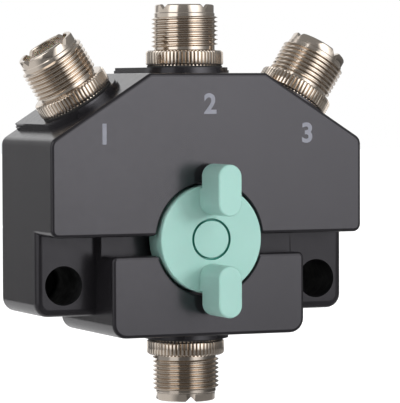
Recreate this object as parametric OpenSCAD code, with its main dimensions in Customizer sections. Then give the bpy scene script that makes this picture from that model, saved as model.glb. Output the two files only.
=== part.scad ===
// Three-way coaxial antenna switch: a die-cast case with four screw-thread
// sockets, and a knob that joins the socket below to one of the three above.
// Millimetres. X to the right, +Y to the mounting wall, +Z up. The origin lies
// on the knob's axis, in the plane of the case's back.

/* [Case] */
// Half width of the case over its upper block
case_half_w = 39.5; // [36:0.5:44]
// Depth of the case, from its back to its front face
case_d = 34.6; // [33:0.1:38]
// Height of the top flat above the knob's axis
top_z = 39; // [37:0.5:42]
// Half width of the top flat between the two slopes
flat_half_w = 14.8; // [13:0.2:16]
// Height at which the slopes meet the sides
slope_z = 23.3; // [21:0.1:26]
// Lower edge of the upper block
upper_z = 0.95; // [0.5:0.05:1.5]
// Upper edge of the lower block
lower_top_z = -3.6; // [-4.5:0.1:-3]
// Half width of the lower block
lower_half_w = 24.4; // [23:0.1:26]
// Lower edge of the lower block
bottom_z = -22.8; // [-24:0.1:-22]
// Thickness of the case's walls
wall = 2.8; // [2.4:0.1:3.2]
// Rounding of the corners where the groove meets the round pocket
corner_r = 1.3; // [0.6:0.1:1.8]
// Rounding of the front edges
edge_r = 0.8; // [0.4:0.1:1.2]

/* [Mounting ears] */
// How far the ears' faces lie behind the front face
ear_step = 10.9; // [9:0.1:13]
// Lower edge of the ears
ear_z = -18.1; // [-20:0.1:-17]
// Rounding of the ears' outer edges
ear_r = 1.8; // [1:0.1:2.4]
// Spacing of the two wall screws
screw_spacing = 65.2; // [62:0.2:67]
// Height of the wall screws
screw_z = -10.75; // [-12:0.05:-9.5]
// Diameter of the wells over the wall screws
well_d = 9.3; // [8:0.1:10]
// Diameter of the wall screws' holes
screw_hole_d = 4.5; // [4:0.1:5]

/* [Sockets] */
// How far the sockets' axes lie behind the front face
socket_step = 15.2; // [14:0.1:17]
// How far the outer sockets lie up their slopes from the middle
socket_shift = 0.5; // [0:0.1:1]
// Outer diameter of the coupling thread
thread_d = 15.875; // [15.8:0.025:15.9]
// Pitch of the coupling thread
thread_pitch = 1.0583; // [1:0.0001:1.1]
// Diameter of the knurled flange
flange_d = 18.5; // [18:0.1:19]
// Height of the socket's rim over the case
rim_h = 16.4; // [16:0.1:17]
// Bore of the centre contact
contact_bore_d = 4; // [3.95:0.01:4.05]

/* [Knob] */
// Diameter of the knob's disc
knob_d = 25.6; // [25:0.1:26]
// How far the disc stands in front of the case
knob_proud = 1.07; // [0.6:0.01:1.5]
// How far the wings stand in front of the case
wing_proud = 12.4; // [10:0.1:14]
// Length over both wings
wing_span = 35.6; // [33:0.1:37]
// Width of a wing
wing_w = 5.9; // [5:0.1:6.5]
// Distance between the wings' inner ends
wing_gap = 11.5; // [11:0.1:12.5]
// Gap between the wings' overhanging ends and the case's front
wing_clear = 2.4; // [1.4:0.1:3]
// Gap between the knob and its round pocket
knob_gap = 0.7; // [0.5:0.05:1]

/* [Switch] */
// Diameter of the shaft
shaft_d = 6; // [5.8:0.05:6.2]
// Gap between the shaft and its bushes
shaft_fit = 0.05; // [0.02:0.01:0.08]
// Length of the rotor's blade from the axis
blade_r = 20; // [19:0.1:20.5]
// Angle between two switch positions
step_angle = 45; // [45:1:46]

/* [Hidden] */
$fn = 96;
eps = 0.01;
// Gap all round a piece that is pressed or glued into its seat
fit = 0.02;
// How far a cut runs past the piece, and how far joined pieces overlap
over = 1;
// Longer than any piece it cuts through
through = 20;

// ---- case
slope = atan2(top_z - slope_z, case_half_w - flat_half_w);
groove_y = -case_d + 7.9;
ear_y = -case_d + ear_step;
pocket_wall = 2.7;
inner_front_y = groove_y + pocket_wall;
upper_front_y = -case_d + 3;
cover_t = 2;
cover_inset = 1.2;
cover_gap = 0.1;
screw_floor = 4;
corner_steps = 6;
edge_steps = 4;
// Roundings of the outlines' corners, from the lower outer corner up
upper_corners = [1.8, 2.4, 1];
lower_corners = [3.4, 1.3];
ear_corners = [3.4, ear_r + 0.1];

// ---- pads under the sockets
pad_r = 10.3;
pad_h = 1.4;
pad_step_r = 10.6;
pad_step_h = 0.7;
// How deep the pads reach into the case's wall
pad_root = 0.5;

// ---- sockets, along their own axes from the case's skin outwards
socket_y = -case_d + socket_step;
washer_t = 0.4;
flange_z = pad_h + washer_t;
flange_h = 3.65;
thread_z = flange_z + flange_h;
thread_depth = 0.7;
thread_turns = 8;
// Where each turn's flank, crest and second flank begin and end, in pitches
thread_form = [0.15, 0.52, 0.65, 1.02];
flange_chamfer = 0.5;
rim_chamfer = 0.3;
rim_r = 7.05;
spigot_r = 7;
spigot_z = -4;
shell_bore_r = 5.9;
neck_r = 4.6;
neck_z = 2.6;
notch_depth = 1.3;
contact_r = 2.6;
contact_top = rim_h - 1.5;
contact_floor = contact_top - 11;
contact_base = 1;
tail_r = 1.6;
tail_z = -9.5;
insulator_top = rim_h - 2.5;
slope_mid = [(flat_half_w + case_half_w) / 2, (top_z + slope_z) / 2];
socket_at = slope_mid + socket_shift * [-cos(slope), sin(slope)];
slot_w = 0.5;
slot_h = 6;
seat_play = 0.3;
tail_end = 0.6;

// ---- cover screws
boss_r = 3.2;
tap_r = 1.25;
shank_r = 1.5;
head_r = 2.9;
head_h = 1.5;
shank_gap = 0.1;
head_gap = 0.3;
head_sunk = 0.15;
cross_l = 3.2;
cross_w = 0.7;
cross_h = 1.1;
cover_screw_l = 9;
upper_boss = [11, 33.4];
side_boss = [34.2, 6.4];
lower_boss = [19, -17.4];

// ---- turning parts, front to back
knob_r = knob_d / 2;
knob_y = -case_d - knob_proud;
knob_back_y = groove_y - 1.4;
knob_wall = 1.9;
knob_face_t = 2.5;
knob_hub_r = 6;
wing_y = -case_d - wing_proud;
wing_back_y = -case_d - wing_clear;
wing_foot_r = knob_r - edge_r;
cap_r = 4.7;
cap_t = 1.2;
cap_gap = 0.15;
cap_wall = 0.85;
cap_top = 0.7;
screw_well_r = 3.2;
screw_well_gap = 0.3;
screw_head_h = 1.6;
screw_in_shaft = 6;
knob_screw_y = knob_y + 3.1;
shaft_y = knob_screw_y + 1.5;
shaft_r = shaft_d / 2;
bush_r = 5;
bush_flange_r = 6.5;
bush_flange_t = 0.6;
end_play = 0.2;
bush_back_y = inner_front_y + 0.5;
ring_y = bush_back_y + end_play;
ring_t = 0.6;
ring_r = 4.6;
ring_mouth = 4;
ring_groove_r = 2.5;
hub_y = ring_y + ring_t + 0.3;
hub_r = 4;
blade_t = 1.2;
blade_w = 5;
blade_disc_r = 8;
disc_y = -10.4;
disc_t = 2.5;
disc_r = 11;
disc_boss_r = 4.5;
hub_back_y = disc_y - 2.2;
journal_r = 2;
journal_y = disc_y + disc_t;
journal_back_y = -2.6;
rear_boss_r = 6;
rear_boss_y = -6;
rear_bush_r = 4;
rear_bush_end = 0.4;
journal_gap = 0.1;

// ---- stop and detent
stop_r = 1.2;
stop_at = 8.3;
stop_play = 1.5;
stop_half_angle = step_angle + asin(stop_r / stop_at) + stop_play;
stop_pin_end = 0.6;
slot_r = 1.3;
ball_r = 1.5;
notch_gap = 0.2;
notch_axis_r = disc_r + 0.9;
ball_gap = 0.1;
ball_z = -(disc_r + ball_r + ball_gap);
detent_y = disc_y + disc_t / 2;
holder_r = 3;
holder_foot_r = 4.5;
holder_foot_h = 1.2;
// Gap between the holder's foot and the lower socket's spigot
foot_gap = 0.15;
holder_top_z = ball_z - 0.3;
holder_bore_r = 1.6;
spring_r = 1.4;
spring_hole_r = 1;
floor_z = bottom_z + wall;
spring_z = floor_z + 1;
spring_top_z = ball_z - 1.1;

// ---- contact lines inside the case
leaf_t = 0.5;
leaf_gap = 0.15;
leaf_w = 5;
leaf_y = blade_t / 2 + leaf_gap;
clip_tip_r = 17.5;
clip_block = [6.4, 5.6, 4];
leaf_back = 2;
common_tip_z = -(hub_r + 0.5);

die_cast = [0.36, 0.36, 0.38];
nickel = [0.78, 0.75, 0.70];
brass = [0.80, 0.65, 0.32];
steel = [0.66, 0.67, 0.69];
silver = [0.85, 0.85, 0.83];
ptfe = [0.93, 0.92, 0.88];
rubber = [0.08, 0.08, 0.08];
mint = [0.66, 0.84, 0.80];

// ---- outlines and helpers

function unit(v) = v / norm(v);

// Points of a polygon whose corner k is rounded by radii[k]
function rounded(points, radii) =
    let (n = len(points))
    [for (k = [0 : n - 1])
        let (
            p = points[k],
            a = unit(points[(k + n - 1) % n] - p),
            b = unit(points[(k + 1) % n] - p),
            half = acos(a * b) / 2,
            r = radii[k],
            centre = p + unit(a + b) * r / sin(half),
            from = p + a * r / tan(half) - centre,
            to = p + b * r / tan(half) - centre,
            a0 = atan2(from[1], from[0]),
            turn = (atan2(to[1], to[0]) - a0 + 540) % 360 - 180
        )
        for (s = [0 : corner_steps])
            centre + r * [cos(a0 + turn * s / corner_steps), sin(a0 + turn * s / corner_steps)]
    ];

function mirrored(half) = concat(half, [for (k = [len(half) - 1 : -1 : 0]) [-half[k][0], half[k][1]]]);

function mirrored_radii(half) = concat(half, [for (k = [len(half) - 1 : -1 : 0]) half[k]]);

// Where the slope, moved in by i, meets an upright or a level line
function slope_at_x(x, i) = slope_z + (case_half_w - x) * tan(slope) - i / cos(slope);
function slope_at_z(z, i) = case_half_w - (z - slope_z) / tan(slope) - i / sin(slope);

// The case's outline without its ears, moved in by i
function inner_outline(i) = mirrored([
    [lower_half_w - i, bottom_z + i],
    [lower_half_w - i, upper_z + i],
    [case_half_w - i, upper_z + i],
    [case_half_w - i, slope_at_x(case_half_w - i, i)],
    [slope_at_z(top_z - i, i), top_z - i]
]);

upper_outline = rounded(
    mirrored([[case_half_w, upper_z], [case_half_w, slope_z], [flat_half_w, top_z]]),
    mirrored_radii(upper_corners)
);
lower_outline = rounded(
    mirrored([[lower_half_w, bottom_z], [lower_half_w, lower_top_z]]),
    mirrored_radii(lower_corners)
);
ear_outline = rounded(
    mirrored([[case_half_w, ear_z], [case_half_w, upper_z + wall]]),
    mirrored_radii(ear_corners)
);

// A shape drawn in X and Z, drawn out from y_back to y_front
module slab(y_back, y_front) {
    translate([0, y_back, 0]) rotate([90, 0, 0]) linear_extrude(y_back - y_front) children();
}

// A block from the back to y_front, with its front edges rounded by r
module round_edged(points, y_front, r) {
    hull() {
        slab(0, y_front + r) polygon(points);
        for (k = [1 : edge_steps])
            let (a = 90 * k / edge_steps)
            slab(y_front + r, y_front + r * (1 - sin(a)))
            offset(delta = -r * (1 - cos(a))) polygon(points);
    }
}

// A round bar along Y
module rod(r, y_front, y_back) {
    translate([0, y_back, 0]) rotate([90, 0, 0]) cylinder(r = r, h = y_back - y_front);
}

module at_xz(p) {
    translate([p[0], 0, p[1]]) children();
}

// Moves a socket's piece from its own axis to its place: which is common, left, middle or right
module at_socket(which) {
    if (which == "common") translate([0, socket_y, bottom_z]) rotate([0, 180, 0]) children();
    if (which == "middle") translate([0, socket_y, top_z]) children();
    if (which == "right") translate([socket_at[0], socket_y, socket_at[1]]) rotate([0, slope, 0]) children();
    if (which == "left") translate([-socket_at[0], socket_y, socket_at[1]]) rotate([0, -slope, 0]) children();
}

SOCKETS = ["common", "left", "middle", "right"];

// Each socket stops at its own angle when it is screwed into the case
function notch_turn(which) =
    which == "common" ? 12 :
    which == "right" ? 15 : 22;

module cover_screw_places() {
    for (p = [upper_boss, side_boss, lower_boss], side = [-1, 1])
        at_xz([side * p[0], p[1]]) children();
}

// ---- case and cover

// The two-stepped pad under a socket, drawn back past the case's back, where housing() cuts it off
module pad(which) {
    at_socket(which) {
        for (s = [[pad_step_r, pad_step_h], [pad_r, pad_h]]) {
            translate([0, 0, -pad_root]) cylinder(r = s[0], h = s[1] + pad_root);
            translate([-s[0], 0, -pad_root]) cube([2 * s[0], -socket_y + over, s[1] + pad_root]);
        }
    }
}

module case_solid() {
    round_edged(upper_outline, -case_d, edge_r);
    round_edged(lower_outline, -case_d, edge_r);
    round_edged(ear_outline, ear_y, ear_r);
    slab(0, groove_y) translate([-lower_half_w, lower_top_z - 5]) square([2 * lower_half_w, 15]);
    for (which = SOCKETS) pad(which);
}

module cavity() {
    slab(over, inner_front_y) polygon(inner_outline(wall));
    difference() {
        slab(over, upper_front_y) intersection() {
            polygon(inner_outline(wall));
            translate([-case_half_w, upper_z + wall]) square([2 * case_half_w, top_z]);
        }
        rod(knob_r + knob_gap + wall, -case_d - over, 2 * over);
    }
}

// Rounds the corner where the groove's edge at height z meets the round pocket. The metal lies above the edge for up = 1, below it for up = -1
module corner_rounding(z, up) {
    r = knob_r + knob_gap;
    centre = [sqrt(pow(r + corner_r, 2) - pow(z + up * corner_r, 2)), z + up * corner_r];
    touch = centre * r / (r + corner_r);
    slab(groove_y, -case_d - over) difference() {
        polygon([centre, [centre[0], z - up * over], [touch[0] - over, z - up * over], touch * (r - over) / r, touch]);
        translate(centre) circle(r = corner_r, $fn = 48);
    }
}

module wall_screw_hole() {
    rod(well_d / 2, ear_y - over, -screw_floor);
    rod(screw_hole_d / 2, -screw_floor - over, over);
}

module housing() {
    color(die_cast) {
        difference() {
            case_solid();
            slab(2 * over, 0) square(4 * case_half_w, center = true);
            cavity();
            slab(over, -cover_t) polygon(inner_outline(cover_inset - cover_gap));
            rod(knob_r + knob_gap, -case_d - over, groove_y);
            for (side = [0, 1]) mirror([side, 0, 0]) {
                corner_rounding(upper_z, 1);
                corner_rounding(lower_top_z, -1);
            }
            rod(bush_r, groove_y - over, over);
            for (which = SOCKETS) at_socket(which)
                translate([0, 0, spigot_z - seat_play]) cylinder(r = spigot_r, h = pad_h - spigot_z + over);
            for (side = [-1, 1]) at_xz([side * screw_spacing / 2, screw_z]) wall_screw_hole();
        }
        cover_screw_places() difference() {
            rod(boss_r, upper_front_y - eps, -cover_t - cover_gap);
            rod(tap_r, -cover_t - cover_screw_l - over, over);
        }
    }
}

module back_cover() {
    color(die_cast) difference() {
        union() {
            slab(0, -cover_t) polygon(inner_outline(cover_inset));
            rod(rear_boss_r, rear_boss_y, -cover_t + eps);
        }
        rod(rear_bush_r, rear_boss_y - over, journal_back_y + rear_bush_end);
        at_xz([0, stop_at]) rod(stop_r, -cover_t - over, -cover_t / 2);
        cover_screw_places() {
            rod(shank_r + shank_gap, -cover_t - over, over);
            translate([0, -head_h - shank_gap, 0]) rotate([-90, 0, 0])
                cylinder(r1 = shank_r + shank_gap, r2 = head_r + head_gap, h = head_h + 2 * shank_gap);
        }
    }
}

module cover_screws() {
    color(steel) cover_screw_places() difference() {
        union() {
            rod(tap_r - fit, -cover_t - cover_screw_l, -cover_t);
            rod(shank_r, -cover_t, -head_h);
            translate([0, -head_h - head_sunk, 0]) rotate([-90, 0, 0]) cylinder(r1 = shank_r, r2 = head_r, h = head_h);
        }
        for (a = [0, 90]) rotate([0, a, 0]) translate([-cross_l / 2, -cross_h, -cross_w / 2])
            cube([cross_l, cross_h + over, cross_w]);
    }
}

// ---- sockets

// Outline of the threaded barrel: one notch of the thread for each turn
thread_points = [for (k = [0 : thread_turns - 1])
    for (q = [0 : 3])
        [thread_d / 2 - (q == 0 || q == 3 ? thread_depth : 0), thread_z + thread_pitch * (k + thread_form[q])]];

module shell(which) {
    color(nickel) at_socket(which) difference() {
        rotate_extrude() polygon(concat(
            [[neck_r, spigot_z], [spigot_r - fit, spigot_z], [spigot_r - fit, flange_z]],
            [[flange_d / 2 - flange_chamfer, flange_z], [flange_d / 2, flange_z + flange_chamfer]],
            [[flange_d / 2, thread_z - flange_chamfer], [flange_d / 2 - flange_chamfer, thread_z]],
            [[thread_d / 2 - thread_depth, thread_z]],
            thread_points,
            [[rim_r, thread_z + thread_pitch * thread_turns + rim_chamfer]],
            [[rim_r, rim_h - rim_chamfer], [rim_r - rim_chamfer, rim_h]],
            [[shell_bore_r + rim_chamfer, rim_h], [shell_bore_r, rim_h - rim_chamfer]],
            [[shell_bore_r, neck_z], [neck_r, neck_z]]
        ));
        for (a = [0 : 90 : 270]) rotate([0, 0, a + notch_turn(which)]) translate([0, 0, rim_h - notch_depth])
            rotate([90, -45, 0]) linear_extrude(thread_d) square(2 * notch_depth);
    }
}

module washer(which) {
    color(rubber) at_socket(which) translate([0, 0, pad_h]) difference() {
        cylinder(r = flange_d / 2 - 0.25, h = washer_t);
        translate([0, 0, -over]) cylinder(r = spigot_r, h = washer_t + 2 * over);
    }
}

module insulator(which) {
    color(ptfe) at_socket(which) difference() {
        union() {
            translate([0, 0, neck_z]) cylinder(r = shell_bore_r - fit, h = insulator_top - neck_z);
            translate([0, 0, spigot_z - tail_end]) cylinder(r = neck_r - fit, h = neck_z - spigot_z + tail_end);
        }
        translate([0, 0, contact_floor - contact_base]) cylinder(r = contact_r, h = rim_h);
        translate([0, 0, spigot_z - over]) cylinder(r = tail_r, h = rim_h);
    }
}

module contact(which) {
    color(silver) at_socket(which) difference() {
        union() {
            translate([0, 0, contact_floor - contact_base])
                cylinder(r = contact_r - fit, h = contact_top - contact_floor + contact_base);
            translate([0, 0, tail_z]) cylinder(r = tail_r - fit, h = contact_floor - tail_z);
        }
        translate([0, 0, contact_floor]) cylinder(r = contact_bore_d / 2, h = rim_h);
        for (a = [0, 90]) rotate([0, 0, a]) translate([-slot_w / 2, -rim_h / 2, contact_top - slot_h])
            cube([slot_w, rim_h, rim_h]);
    }
}

// ---- lines from the sockets to the rotor

// Two leaves from tail to tip, both in X and Z
module line_leaves(tail, tip) {
    run = tip - tail;
    at_xz(tail) rotate([0, atan2(run[0], run[1]), 0]) translate([0, socket_y, 0])
        for (side = [-1, 1])
            translate([-leaf_w / 2, side > 0 ? leaf_y : -leaf_y - leaf_t, -leaf_back])
                cube([leaf_w, leaf_t, norm(run) + leaf_back]);
}

// The leaves and the block that holds them, drilled for the contact's tail
module line(which) {
    side = which == "left" ? -1 : which == "right" ? 1 : 0;
    tail = which == "common" ? [0, bottom_z - tail_z] :
        which == "middle" ? [0, top_z + tail_z] :
        [side * (socket_at[0] + tail_z * sin(slope)), socket_at[1] + tail_z * cos(slope)];
    tip = which == "common" ? [0, common_tip_z] :
        clip_tip_r * [sin(side * step_angle), cos(side * step_angle)];
    color(silver) difference() {
        union() {
            line_leaves(tail, tip);
            at_socket(which) translate([-clip_block[0] / 2, -clip_block[1] / 2, tail_z]) cube(clip_block);
        }
        at_socket(which) translate([0, 0, tail_z - fit]) cylinder(r = tail_r, h = clip_block[2] + over);
    }
}

// ---- fixed parts around the shaft

module shaft_bushing() {
    color(brass) difference() {
        union() {
            rod(bush_r - fit, groove_y - eps, bush_back_y);
            rod(bush_flange_r, groove_y - bush_flange_t, groove_y);
        }
        rod(shaft_r + shaft_fit, groove_y - bush_flange_t - over, bush_back_y + over);
    }
}

module rear_bush() {
    color(brass) difference() {
        rod(rear_bush_r - fit, rear_boss_y - rear_bush_end, journal_back_y + rear_bush_end - fit);
        rod(journal_r + shaft_fit, rear_boss_y - over, journal_back_y + journal_gap);
    }
}

module stop_pin() {
    color(steel) at_xz([0, stop_at]) rod(stop_r - fit, disc_y - stop_pin_end, -cover_t / 2);
}

module at_detent(z) {
    translate([0, detent_y, z]) children();
}

module detent_holder() {
    color(brass) difference() {
        union() {
            at_detent(floor_z) cylinder(r = holder_r, h = holder_top_z - floor_z);
            at_detent(floor_z) cylinder(r = holder_foot_r, h = holder_foot_h);
        }
        at_detent(spring_z) cylinder(r = holder_bore_r, h = through);
        at_socket("common") translate([0, 0, spigot_z - over]) cylinder(r = spigot_r + foot_gap, h = through);
    }
}

module detent_ball() {
    color(steel) at_detent(ball_z) sphere(r = ball_r);
}

module detent_spring() {
    color(steel) at_detent(spring_z) difference() {
        cylinder(r = spring_r, h = spring_top_z - spring_z);
        translate([0, 0, -over]) cylinder(r = spring_hole_r, h = through);
    }
}

// ---- turning parts

// One wing of the knob, side is 1 above the axis and -1 below it. Past wing_foot_r it hangs over the case
module wing(side) {
    r = wing_w / 2;
    inner = wing_gap / 2 + r;
    outer = wing_span / 2 - r;
    difference() {
        union() {
            for (z = [inner, outer]) at_xz([0, side * z]) rod(r, wing_y, knob_back_y);
            slab(knob_back_y, wing_y) translate([-r, side > 0 ? inner : -outer])
                square([wing_w, outer - inner]);
        }
        difference() {
            rod(wing_span, wing_back_y, knob_back_y + over);
            rod(wing_foot_r, wing_back_y - over, knob_back_y + 2 * over);
        }
    }
}

module knob() {
    color(mint) difference() {
        union() {
            rod(knob_r, knob_y, knob_back_y);
            for (side = [-1, 1]) wing(side);
        }
        difference() {
            rod(knob_r - knob_wall, knob_y + knob_face_t, knob_back_y + over);
            rod(knob_hub_r, knob_y, knob_back_y + 2 * over);
        }
        rod(cap_r, knob_y - over, knob_y + cap_t);
        rod(screw_well_r, knob_y - over, knob_screw_y);
        rod(shank_r + shank_gap, knob_y - over, shaft_y + over);
        rod(shaft_r, shaft_y, knob_back_y + over);
    }
}

module knob_cap() {
    color(mint) difference() {
        rod(cap_r - cap_gap, knob_y, knob_y + cap_t);
        rod(cap_r - cap_gap - cap_wall, knob_y + cap_top, knob_y + cap_t + over);
    }
}

module knob_screw() {
    color(steel) difference() {
        union() {
            rod(screw_well_r - screw_well_gap, knob_screw_y - screw_head_h, knob_screw_y);
            rod(shank_r, knob_screw_y - over, shaft_y + screw_in_shaft);
        }
        translate([-screw_well_r, knob_screw_y - screw_head_h - over, -cross_w / 2])
            cube([2 * screw_well_r, over + screw_head_h / 2, cross_w]);
    }
}

module thrust_washer() {
    color(steel) difference() {
        rod(bush_flange_r - shank_gap, knob_back_y, groove_y - bush_flange_t - end_play);
        rod(shaft_r + fit, knob_back_y - over, groove_y);
    }
}

module shaft() {
    color(steel) difference() {
        union() {
            rod(shaft_r - fit, shaft_y, ring_y);
            rod(ring_groove_r, ring_y - over, ring_y + ring_t + over);
            rod(shaft_r - fit, ring_y + ring_t, journal_y);
            rod(journal_r, journal_y - over, journal_back_y);
        }
        rod(shank_r, shaft_y - over, shaft_y + screw_in_shaft + over);
    }
}

module retaining_ring() {
    color(steel) difference() {
        rod(ring_r, ring_y + fit, ring_y + ring_t - fit);
        rod(ring_groove_r + fit, ring_y - over, ring_y + ring_t + over);
        slab(ring_y + ring_t + over, ring_y - over) translate([-ring_mouth / 2, 0]) square([ring_mouth, through]);
    }
}

module rotor_hub() {
    color(ptfe) difference() {
        rod(hub_r - fit, hub_y, hub_back_y);
        rod(shaft_r, hub_y - over, hub_back_y + over);
    }
}

module rotor_blade() {
    blade_front = socket_y - blade_t / 2;
    blade_back = socket_y + blade_t / 2;
    color(silver) difference() {
        union() {
            rod(blade_disc_r, blade_front, blade_back);
            slab(blade_back, blade_front) translate([-blade_w / 2, 0]) square([blade_w, blade_r - blade_w / 2]);
            at_xz([0, blade_r - blade_w / 2]) rod(blade_w / 2, blade_front, blade_back);
        }
        rod(hub_r, blade_front - over, blade_back + over);
    }
}

module detent_disc() {
    color(steel) difference() {
        union() {
            rod(disc_r, disc_y, disc_y + disc_t);
            rod(disc_boss_r, hub_back_y, disc_y + eps);
        }
        rod(shaft_r, hub_back_y - over, disc_y + disc_t + over);
        for (a = [-step_angle, 0, step_angle]) rotate([0, a, 0]) at_xz([0, -notch_axis_r])
            rod(ball_r + notch_gap, disc_y - over, disc_y + disc_t + over);
        difference() {
            rod(stop_at + slot_r, disc_y - over, disc_y + disc_t + over);
            rod(stop_at - slot_r, disc_y - 2 * over, disc_y + disc_t + 2 * over);
            for (side = [-1, 1]) rotate([0, side * stop_half_angle, 0])
                slab(disc_y + disc_t + 2 * over, disc_y - 2 * over)
                translate([side > 0 ? 0 : -2 * disc_r, -2 * disc_r]) square([2 * disc_r, 4 * disc_r]);
            slab(disc_y + disc_t + 2 * over, disc_y - 2 * over) translate([-2 * disc_r, -2 * disc_r]) square([4 * disc_r, 2 * disc_r]);
        }
    }
}

housing();
back_cover();
cover_screws();
shaft_bushing();
rear_bush();
stop_pin();
detent_holder();
detent_ball();
detent_spring();
shell("common");  // common_shell
shell("left");  // left_shell
shell("middle");  // middle_shell
shell("right");  // right_shell
washer("common");  // common_washer
washer("left");  // left_washer
washer("middle");  // middle_washer
washer("right");  // right_washer
insulator("common");  // common_insulator
insulator("left");  // left_insulator
insulator("middle");  // middle_insulator
insulator("right");  // right_insulator
contact("common");  // common_contact
contact("left");  // left_contact
contact("middle");  // middle_contact
contact("right");  // right_contact
line("common");  // common_line
line("left");  // left_line
line("middle");  // middle_line
line("right");  // right_line
knob();
knob_cap();
knob_screw();
thrust_washer();
shaft();
retaining_ring();
rotor_hub();
rotor_blade();
detent_disc();
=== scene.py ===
# %% [markdown]
# # A coaxial antenna switch
# This switch hangs on a wall and sends one radio's cable to one of three
# antennas. A heavy die-cast case carries four screw-thread sockets, and a mint
# green knob with two wings picks the socket. The lesson dresses the measured
# model: what is already right gets a finish, and what the eye reads closely
# (sockets, knob, case edges, numbers) is modelled again in finer detail.

# %% The measured model
import math

import bmesh
import bpy
from mathutils import Matrix, Vector


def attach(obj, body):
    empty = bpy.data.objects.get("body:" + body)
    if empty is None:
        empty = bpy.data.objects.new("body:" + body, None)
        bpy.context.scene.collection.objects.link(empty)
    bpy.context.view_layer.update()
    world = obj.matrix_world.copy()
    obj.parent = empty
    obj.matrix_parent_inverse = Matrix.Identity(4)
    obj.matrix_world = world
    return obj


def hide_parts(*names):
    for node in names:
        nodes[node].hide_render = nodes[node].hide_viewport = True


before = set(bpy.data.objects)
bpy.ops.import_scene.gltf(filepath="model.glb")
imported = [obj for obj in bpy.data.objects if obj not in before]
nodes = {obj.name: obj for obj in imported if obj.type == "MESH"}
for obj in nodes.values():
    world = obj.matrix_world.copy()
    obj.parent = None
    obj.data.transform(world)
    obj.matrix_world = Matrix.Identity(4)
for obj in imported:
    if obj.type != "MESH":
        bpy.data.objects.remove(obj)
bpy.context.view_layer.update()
bpy.ops.object.select_all(action="DESELECT")
MM = 0.001

# %% [markdown]
# ## The camera
# The photograph was taken from the object's left and a little above, through a
# long lens, so upright edges stay almost parallel. Solving about sixty points of
# the picture, and then matching its edges, gave the place, the turn and the focal
# length. A long lens far away flattens depth the way product photographs do.

# %% The camera
PHOTO_W, FOCAL_PX = 400, 2950.9
SENSOR_W = 36
CAMERA_AT = Vector((-270.3, -672.3, 36.0)) * MM
CAMERA_YAW, CAMERA_PITCH, CAMERA_ROLL = 22.79, -2.245, 0.19

bpy.ops.object.camera_add(
    location=CAMERA_AT,
    rotation=[math.radians(turn) for turn in (90 + CAMERA_PITCH, CAMERA_ROLL, -CAMERA_YAW)],
)
camera = bpy.context.object
camera.data.sensor_fit = "HORIZONTAL"
camera.data.sensor_width = SENSOR_W
camera.data.lens = FOCAL_PX / PHOTO_W * SENSOR_W
camera.data.clip_start = 0.01
bpy.context.scene.camera = camera
bpy.context.scene.view_settings.view_transform = "Standard"
print("lens:", round(camera.data.lens, 1), "mm")

# %% [markdown]
# ## Small tools for modelling
# Every piece starts as a primitive and is shaped in edit mode. Operators work on
# what is selected, so `choose` selects by place. `turned` works like a lathe: it
# draws a ring from point to point of a profile, which suits everything round.

# %% Tools for selecting and finishing
TINY = 0.002  # in mm: points nearer than this are one point


def pick(piece):
    """Leaves one piece selected and active."""
    bpy.ops.object.select_all(action="DESELECT")
    piece.select_set(True)
    bpy.context.view_layer.objects.active = piece


def edit(piece):
    """Enters edit mode on one piece."""
    pick(piece)
    bpy.ops.object.mode_set(mode="EDIT")


def done():
    """Leaves edit mode."""
    bpy.ops.object.mode_set(mode="OBJECT")


def choose(piece, wanted):
    """In edit mode, selects the vertices whose place in mm passes the test."""
    bpy.context.tool_settings.mesh_select_mode = (True, False, False)
    bpy.ops.mesh.select_all(action="DESELECT")
    shape = bmesh.from_edit_mesh(piece.data)
    for vertex in shape.verts:
        vertex.select = bool(wanted(vertex.co / MM))
    shape.select_flush(True)
    bmesh.update_edit_mesh(piece.data)


def closed_up(piece):
    """Merges doubles and points all faces outwards."""
    edit(piece)
    bpy.ops.mesh.select_all(action="SELECT")
    bpy.ops.mesh.remove_doubles(threshold=TINY * MM)
    bpy.ops.mesh.normals_make_consistent(inside=False)
    done()


def apply_modifier(piece, kind, **values):
    """Adds a modifier to a piece and applies it."""
    pick(piece)
    bpy.ops.object.modifier_add(type=kind)
    modifier = piece.modifiers[-1]
    for key, value in values.items():
        setattr(modifier, key, value)
    bpy.ops.object.modifier_apply(modifier=modifier.name)


def combine(piece, tool, operation):
    """Joins a tool to a piece or cuts it away, and deletes the tool."""
    apply_modifier(piece, "BOOLEAN", object=tool, operation=operation, solver="EXACT")
    bpy.data.objects.remove(tool)


def smooth(piece, angle=32):
    """Smooth shading over soft edges, with flat faces kept flat."""
    pick(piece)
    bpy.ops.object.shade_smooth_by_angle(angle=math.radians(angle))
    apply_modifier(piece, "WEIGHTED_NORMAL", keep_sharp=True, weight=60)


def applied(piece):
    """Bakes a piece's place, turn and scale into its mesh."""
    pick(piece)
    bpy.ops.object.transform_apply(location=True, rotation=True, scale=True)


def placed(piece, matrix):
    """Moves a piece and bakes the move into its mesh."""
    piece.matrix_world = matrix
    applied(piece)


def turned(name, profile, around):
    """A round shape about Z. The profile holds (radius, height) in mm."""
    radius, height = profile[0]
    bpy.ops.mesh.primitive_circle_add(
        vertices=around, radius=radius * MM, location=(0, 0, height * MM)
    )
    piece = bpy.context.object
    piece.name = piece.data.name = name
    applied(piece)
    edit(piece)
    bpy.ops.mesh.select_all(action="SELECT")
    for (r0, z0), (r1, z1) in zip(profile, profile[1:]):
        bpy.ops.mesh.extrude_region_move(
            TRANSFORM_OT_translate={"value": (0, 0, (z1 - z0) * MM)}
        )
        bpy.ops.transform.resize(value=(r1 / r0, r1 / r0, 1), center_override=(0, 0, 0))
    done()
    closed_up(piece)
    return piece


POLE = 0.001  # a radius, in mm, that merges into a point

# %% [markdown]
# ## Finishes as node groups
# An effect that comes back in several finishes is built once, as a node group
# with named sockets. Two small functions do the work: one opens a new group, and
# one adds a node with its inputs linked or filled.

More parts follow.
